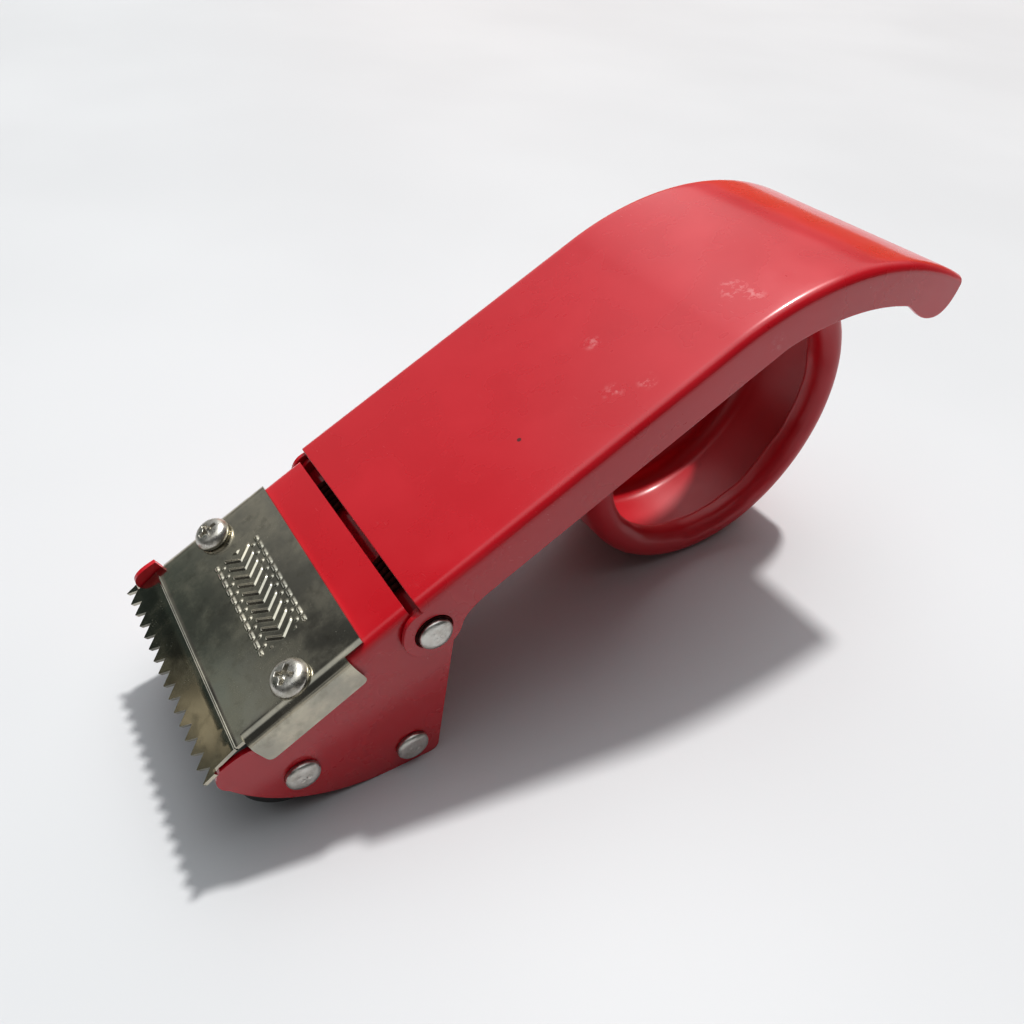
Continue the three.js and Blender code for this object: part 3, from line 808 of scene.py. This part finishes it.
def lip_outline(shared):
    """Lip drawn flat as (y, distance from the bend): a neck, shoulders and the row of teeth."""
    start = 0.3
    root = LIP_LENGTH - TOOTH_DEPTH
    pitch = 2 * TEETH_HALF / TOOTH_COUNT
    outline = Outline((NECK_NEAR, start), 0.5)
    outline.line((NECK_NEAR, NECK_LENGTH))
    outline.line((TEETH_HALF, NECK_LENGTH))
    outline.line((TEETH_HALF, LIP_LENGTH - 0.1))
    for i in range(TOOTH_COUNT):
        left = TEETH_HALF - i * pitch
        outline.line((left - 0.08, LIP_LENGTH))
        outline.line((left - pitch / 2, root))
        outline.line((left - pitch + 0.08, LIP_LENGTH))
    outline.line((-TEETH_HALF, LIP_LENGTH - 0.1))
    outline.line((-TEETH_HALF, NECK_LENGTH))
    outline.line((-NECK_HALF, NECK_LENGTH))
    outline.line((-NECK_HALF, start))
    outline.through([(y, start) for y in shared])
    return outline.closed()


def tab_outline(stations):
    """Folded tab drawn flat as (distance down the slope, height)."""
    fold = -HEAD_BEND - BLADE_STAND
    corner = 1.3
    outline = Outline((TAB_START, fold), 0.5)
    outline.line((TAB_START, -TAB_DEPTH + corner))
    outline.curve((TAB_START, -TAB_DEPTH), (TAB_START + corner, -TAB_DEPTH))
    outline.line((TAB_END - corner, -TAB_DEPTH))
    outline.curve((TAB_END, -TAB_DEPTH), (TAB_END, -TAB_DEPTH + corner))
    outline.line((TAB_END, fold))
    outline.through([(s, fold) for s in reversed(stations)])
    return outline.closed()


def make_blade():
    sheet = Sheet()
    bend = HEAD_BEND + BLADE_STAND
    half = HEAD_HALF + BLADE_STAND
    flat = half - bend
    lip_start = BLADE_LENGTH + 0.3
    fine = spread(EMBOSS_S[0], EMBOSS_S[1], 88)
    tab_s = spread(TAB_START, EMBOSS_S[0], 2)[:-1] + fine + spread(EMBOSS_S[1], TAB_END, 10)[1:]
    front_s = spread(TAB_END, BLADE_LENGTH - 0.3, 2) + spread(BLADE_LENGTH - 0.3, lip_start, 10)[1:]
    columns = blade_columns()
    rear_turn = math.degrees(math.asin((REAR_HALF - flat) / bend))

    def middle(s):
        place = bend_station(s)
        row = []
        for y in columns:
            rise = emboss(s, y) if EMBOSS_S[0] < s < EMBOSS_S[1] and EMBOSS_Y[0] < y < EMBOSS_Y[1] else 0.0
            x, z = place(rise)
            row.append((x, y, z))
        return row

    sheet.grid([middle(s) for s in spread(0, TAB_START, 3)[:-1] + tab_s + front_s[1:]])
    for side in (-1, 1):
        for stretch in (spread(0, TAB_START, 3), tab_s):
            sheet.grid([fold_row(bend_station(s), side, half, bend, 0, 3, rear_turn) for s in stretch])
        rest = []
        for s in tab_s:
            row = []
            for angle in spread(rear_turn, 90, 7):
                x, z = on_head(s, -bend * (1 - math.cos(rad(angle))))
                row.append((x, side * (flat + bend * math.sin(rad(angle))), z))
            rest.append(row)
        sheet.grid(rest)
        neck = []
        for s in front_s:
            x0, z0 = bend_station(s)(0)
            edge = NECK_NEAR if side > 0 else -NECK_HALF
            neck.append([(x0, side * flat, z0), (x0, edge, z0)])
        sheet.grid(neck)
        sheet.patch(
            tab_outline(tab_s), [], lambda s, n, y=side * half: (on_head(s, n)[0], y, on_head(s, n)[1]), 1.5
        )
    shared = [-NECK_HALF] + columns + [NECK_NEAR]
    outline = lip_outline(shared)
    sheet.patch(outline, [], lambda y, d: (on_lip(d, 0)[0], y, on_lip(d, 0)[1]), 1.2)
    obj = sheet.build("nickel_blade")
    thicken(obj, BLADE_SHEET, 0.25)
    return obj


# Fasteners, axles and rollers ------------------------------------------------------------------------
def make_screw(side, name):
    """Pan head screw with a cross recess."""
    bm = bmesh.new()
    ring_count = 44
    around = 144
    depth = 1.5
    height = 2.4
    spin = rad(20 + 25 * side)

    def dome(r):
        t = r / SCREW_HEAD
        return 0.1 + height * (1 - 0.16 * t * t - 0.5 * t ** 7)

    def recess(x, y):
        c, k = math.cos(spin), math.sin(spin)
        u, v = abs(x * c + y * k), abs(y * c - x * k)
        arms = [step_down(b, 0.42, 0.14) * step_down(a, 1.75, 0.3) for a, b in ((u, v), (v, u))]
        core = step_down(math.hypot(u, v), 0.85, 0.3)
        return depth * max(0.75 * max(arms), core)

    rings = []
    for i in range(1, ring_count + 1):
        r = SCREW_HEAD * (i / ring_count)
        ring = []
        for k in range(around):
            a = 2 * math.pi * k / around
            x, y = r * math.cos(a), r * math.sin(a)
            ring.append(bm.verts.new((x, dome(r) - recess(x, y), y)))
        rings.append(ring)
    under_head = [(SCREW_HEAD - 0.05, 0.3), (SCREW_HEAD - 0.35, 0.08)]
    shank = [(1.7, 0.08), (1.7, -4.4), (0.9, -6.2)]
    for r, n in under_head + shank:
        ring = []
        for k in range(around):
            a = 2 * math.pi * k / around
            ring.append(bm.verts.new((r * math.cos(a), n, r * math.sin(a))))
        rings.append(ring)
    for a, b in zip(rings, rings[1:]):
        for k in range(around):
            j = (k + 1) % around
            bm.faces.new([a[k], a[j], b[j], b[k]])
    tip = bm.verts.new((0, dome(0) - recess(0, 0), 0))
    end = bm.verts.new((0, -6.5, 0))
    for k in range(around):
        j = (k + 1) % around
        bm.faces.new([tip, rings[0][j], rings[0][k]])
        bm.faces.new([end, rings[-1][k], rings[-1][j]])
    bmesh.ops.recalc_face_normals(bm, faces=bm.faces)
    obj = to_object(bm, name)
    obj.data.transform(head_matrix(SCREW_S, side * SCREW_Y))
    return obj


def make_axle(name, centre, half, head, height):
    """Pin riveted over at both ends, with a few hammer marks on its heads."""
    side = [(2.0, 0), (2.0, half), (head, half)]
    side += [(head, half + 0.55 * height), (head - 0.25, half + 0.85 * height), (head - 0.8, half + height)]
    side += [(r, half + height) for r in spread(head - 1.1, 0, 14)]
    other = [(r, -y) for r, y in side[1:]]
    outline = side + list(reversed(other))

    def marks(radius, y, i, turn):
        if radius > head - 0.9 or abs(y) < half + height - 0.01:
            return radius, y
        x, z = on_circle((0, 0), radius, turn)
        dent = 0.0
        for px, pz, size in ((-0.75, -0.1, 0.5), (0.35, -0.45, 0.42), (0.9, 0.75, 0.5)):
            dent = max(dent, mound(math.hypot(x - px, z - pz), size))
        crown = 0.1 * (1 - (radius / head) ** 2)
        return radius, y + math.copysign(crown - 0.16 * dent, y)

    return lathe(name, centre, outline, 96, marks)


def tube_outline(inner, outer, y0, y1, rounding):
    return rounded([(inner, y0), (outer, y0), (outer, y1), (inner, y1)], rounding)


def make_ring(name, node, centre, inner, outer, rounding=0.15):
    """Round tube that stands for a CAD node and takes its ends from it."""
    low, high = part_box(node)
    return lathe(name, centre, tube_outline(inner, outer, low.y / MM, high.y / MM, rounding), 96)


def make_sleeve():
    low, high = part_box("front_roller_sleeve")
    outer = (high.z - low.z) / 2 / MM
    y0, y1 = low.y / MM, high.y / MM
    outline = [(6.45, y0), (outer - 0.9, y0), (outer, y0 + 0.9)]
    outline += [(outer, y) for y in spread(y0 + 1.2, y1 - 1.2, 60)]
    outline += [(outer, y1 - 0.9), (outer - 0.9, y1), (6.45, y1)]

    def ground(radius, y, i, turn):
        if radius < outer - 0.1:
            return radius, y
        return radius - 0.03 + 0.03 * math.cos(5.2 * y), y

    return lathe("rubber_front_roller", FRONT_AXLE, outline, 128, ground)


def spring_line(side):
    """Points down the middle of a torsion spring's wire, from the head's leg to the arm's leg."""
    coil, turns, pitch = 4.3, 5, 1.45
    first_y = side * 16
    last_y = side * (16 - pitch * turns)
    head_leg, arm_leg = 9, 13
    start = 90 - HEAD_TILT + 5  # the head's leg slopes under its top plate
    end = 360 * turns + 90 - ARM_TILT - 8.6  # the arm's leg reaches up to its top
    points = []
    x, z = on_circle(PIVOT, coil, start)
    for ahead in spread(head_leg, 0.5, 12):
        points.append((x + ahead * math.sin(rad(start)), first_y, z - ahead * math.cos(rad(start))))
    for t in spread(0, 1, 200):
        x, z = on_circle(PIVOT, coil, start + t * (end - start))
        points.append((x, first_y + t * (last_y - first_y), z))
    for past in spread(0.5, arm_leg, 16):
        points.append((x - past * math.sin(rad(end)), last_y, z + past * math.cos(rad(end))))
    return [Vector(point) for point in points]


def make_spring(side, name):
    wire = 0.6
    around = 12
    line = spring_line(side)
    bm = bmesh.new()
    rings = []
    up = Vector((0, 1, 0))
    for i, point in enumerate(line):
        ahead = line[min(i + 1, len(line) - 1)] - line[max(i - 1, 0)]
        ahead.normalize()
        across = ahead.cross(up).normalized()
        other = across.cross(ahead).normalized()
        size = wire * (0.75 if i in (0, len(line) - 1) else 1)
        ring = []
        for k in range(around):
            a = 2 * math.pi * k / around
            ring.append(bm.verts.new(point + size * (math.cos(a) * across + math.sin(a) * other)))
        rings.append(ring)
    for a, b in zip(rings, rings[1:]):
        for k in range(around):
            j = (k + 1) % around
            bm.faces.new([a[k], a[j], b[j], b[k]])
    bm.faces.new(rings[0])
    bm.faces.new(rings[-1])
    bmesh.ops.recalc_face_normals(bm, faces=bm.faces)
    return to_object(bm, name)


# Assembly --------------------------------------------------------------------------------------------
def dress(obj, material, body, slot, *nodes):
    """Finishes a piece: its material, the body it rides on and the CAD nodes it stands for."""
    obj.data.materials.clear()
    obj.data.materials.append(material)
    if body:
        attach(obj, body)
    if nodes:
        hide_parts(*nodes)
    return obj


def assemble():
    red = red_enamel("red_enamel", 0.6, 0.0)
    drum_red = red_enamel("dull_red_enamel", 0.3, 0.14)
    nickel = bright_nickel()
    zinc = plated_steel("zinc_plate", srgb(206, 203, 196), srgb(178, 174, 164), 0.3)
    rivet = plated_steel("rivet_steel", srgb(214, 212, 206), srgb(188, 184, 176), 0.36)
    dark = plated_steel("oiled_steel", srgb(70, 62, 58), srgb(44, 36, 34), 0.5)
    # Dark red-brown wire colour is painted shade: the springs take the dark red of the shaded slot, and the
    # pivot bushes the shadowed crescent round the rivet
    wire = plated_steel("painted_shade_red_brown", srgb(92, 40, 36), srgb(60, 26, 24), 0.75)
    rubber = black_rubber()
    plastic = moulded_plastic()

    dress(make_frame(), red, "head", "red_paint", "frame")
    for side, label in ((1, "near"), (-1, "far")):
        dress(make_screw_collar(side, f"screw_collar_{label}"), red, "head", "red_paint")
    dress(make_drum(), drum_red, "head", "red_paint", "drum")
    dress(make_arm(), red, "handle", "red_paint", "handle_arm")
    dress(make_blade(), nickel, "head", "nickel", "blade")
    dress(make_axle("pivot_rivet", PIVOT, ARM_HALF + 0.2, 3.1, 1.1), rivet, "head", "zinc", "pivot_axle")
    for label, centre in (("front", FRONT_AXLE), ("guide", GUIDE_AXLE)):
        axle = make_axle(f"{label}_rivet", centre, HEAD_HALF + 0.1, 3.2, 1.2)
        dress(axle, rivet, "head", "zinc", f"{label}_axle")
    spacer = make_ring("pivot_tube", "pivot_spacer", PIVOT, 2.05, 3.1)
    dress(spacer, red, "head", "red_paint", "pivot_spacer")
    core = make_ring("roller_core", "front_roller_core", FRONT_AXLE, 2.05, 6.4, 0.3)
    dress(core, plastic, "front_roller", "core_plastic", "front_roller_core")
    dress(make_sleeve(), rubber, "front_roller", "black_rubber", "front_roller_sleeve")
    guide = make_ring("guide_tube", "guide_roller", GUIDE_AXLE, 2.05, 4.6, 0.4)
    dress(guide, plastic, "guide_roller_body", "core_plastic", "guide_roller")
    for side, label in ((1, "near"), (-1, "far")):
        screw = make_screw(side, f"pan_screw_{label}")
        dress(screw, zinc, "head", "zinc", f"blade_screw_{label}")
        # The bush's dark red-brown is painted shade, standing for the shadow crescent round the pivot rivet
        bush = make_ring(f"bush_{label}", f"pivot_bush_{label}", PIVOT, 2.05, BUSH_RADIUS)
        dress(bush, wire, "head", "dark_steel", f"pivot_bush_{label}")
        washer = make_ring(f"roller_washer_{label}", f"front_washer_{label}", FRONT_AXLE, 2.05, 4.4, 0.1)
        dress(washer, dark, "head", "dark_steel", f"front_washer_{label}")
        washer = make_ring(f"guide_shim_{label}", f"guide_washer_{label}", GUIDE_AXLE, 2.05, 4.0, 0.1)
        dress(washer, dark, "head", "dark_steel", f"guide_washer_{label}")
        # The spring's dark red-brown is painted shade, so that it reads as the shaded inside of the slot
        spring = make_spring(side, f"torsion_spring_{label}")
        dress(spring, wire, None, "dark_steel", f"pivot_spring_{label}")
        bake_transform(spring)


# Stage -----------------------------------------------------------------------------------------------
def make_floor():
    bm = bmesh.new()
    half_size = 4000
    bmesh.ops.create_grid(bm, x_segments=2, y_segments=2, size=half_size)
    floor = to_object(bm, "floor")
    floor.data.materials.append(floor_paint())


def make_light():
    sun = bpy.data.lights.new("window", "SUN")
    sun.energy = 2.75
    sun.angle = rad(4.5)
    sun.color = (1.0, 0.985, 0.96)
    lamp = bpy.data.objects.new("window", sun)
    lamp.rotation_euler = Vector(SUN_TOWARDS).to_track_quat("Z", "Y").to_euler()
    bpy.context.scene.collection.objects.link(lamp)


def make_world():
    """Dim room whose pale patches the metal and paint reflect; the camera sees a plain backdrop."""
    n = Nodes("room", world=True)
    bpy.context.scene.world = n.owner
    blind = n.towards(0.727, -0.628, 0.278)
    patches = (  # direction, cosines at the patch's rim and at its full level, level
        (n.towards(-0.7, -0.62, 0.36), 0.6, 0.98, 0.55),  # window
        (n.towards(-0.1, -0.95, 0.4), 0.74, 0.91, 0.48),  # wall
        (n.towards(-0.1, -0.1, 1), 0.72, 0.97, 1.7),  # ceiling
        (n.towards(0.66, -0.15, 0.73), 0.93, 0.99, 0.7),  # lamp
        (n.towards(0.36, 0.92, 0.16), 0.93, 0.985, 0.6),  # door
        (blind, 0.9988, 0.9997, 2.6),
        (n.towards(0.61, -0.61, 0.5), 0.994, 0.9992, 0.42),  # sill
    )
    level = 0.1
    for direction, rim, full, most in patches:
        level = n.math("ADD", level, n.ramp(direction, rim, full, 0.0, most))
    up = n.towards(0, 0, 1)
    colour = n.mix(n.ramp(up, -0.1, 0.9), (1.0, 0.97, 0.93, 1), (0.95, 0.98, 1.0, 1))
    colour = n.mix(n.ramp(n.towards(0.68, -0.7, 0.2), 0.93, 0.985), colour, (0.78, 1.0, 0.93, 1))
    colour = n.mix(n.ramp(blind, 0.995, 0.999), colour, (1.0, 0.9, 0.7, 1))
    skirting = n.math("MULTIPLY", n.ramp(up, 0.27, 0.2), n.ramp(n.towards(-0.79, -0.61, 0), 0.75, 0.9))
    colour = n.mix(skirting, colour, (1.0, 0.3, 0.12, 1))
    shade = n.math("MULTIPLY", n.ramp(up, 0.21, 0.27), n.ramp(up, 0.38, 0.31))
    level = n.math("MULTIPLY", level, n.math("SUBTRACT", 1.0, n.math("MULTIPLY", shade, 0.7)))
    seen = n.add("ShaderNodeLightPath").outputs["Is Camera Ray"]  # the camera sees a plain pale backdrop
    colour = n.mix(seen, colour, (0.9, 0.91, 0.92, 1))
    unseen = n.math("SUBTRACT", 1.0, seen)
    level = n.math("ADD", n.math("MULTIPLY", seen, 0.9), n.math("MULTIPLY", unseen, level))
    background = n.tree.nodes["Background"]
    n.give(background.inputs["Color"], colour)
    n.give(background.inputs["Strength"], level)


def make_camera():
    camera = bpy.data.cameras.new("camera")
    camera.sensor_width = 36
    camera.lens = CAMERA_LENS
    camera.clip_start = 0.005
    obj = bpy.data.objects.new("camera", camera)
    tilt = Matrix.Rotation(rad(CAMERA_TURN[0]), 4, "X")
    heading = Matrix.Rotation(rad(CAMERA_TURN[1]), 4, "Z")
    roll = Matrix.Rotation(rad(CAMERA_ROLL), 4, "Z")
    obj.matrix_world = Matrix.Translation(Vector(CAMERA_PLACE) * MM) @ heading @ tilt @ roll
    bpy.context.scene.collection.objects.link(obj)
    bpy.context.scene.camera = obj


assemble()
make_floor()
make_light()
make_world()
make_camera()
bpy.context.scene.view_settings.view_transform = "Standard"
bpy.context.scene.view_settings.gamma = 0.85
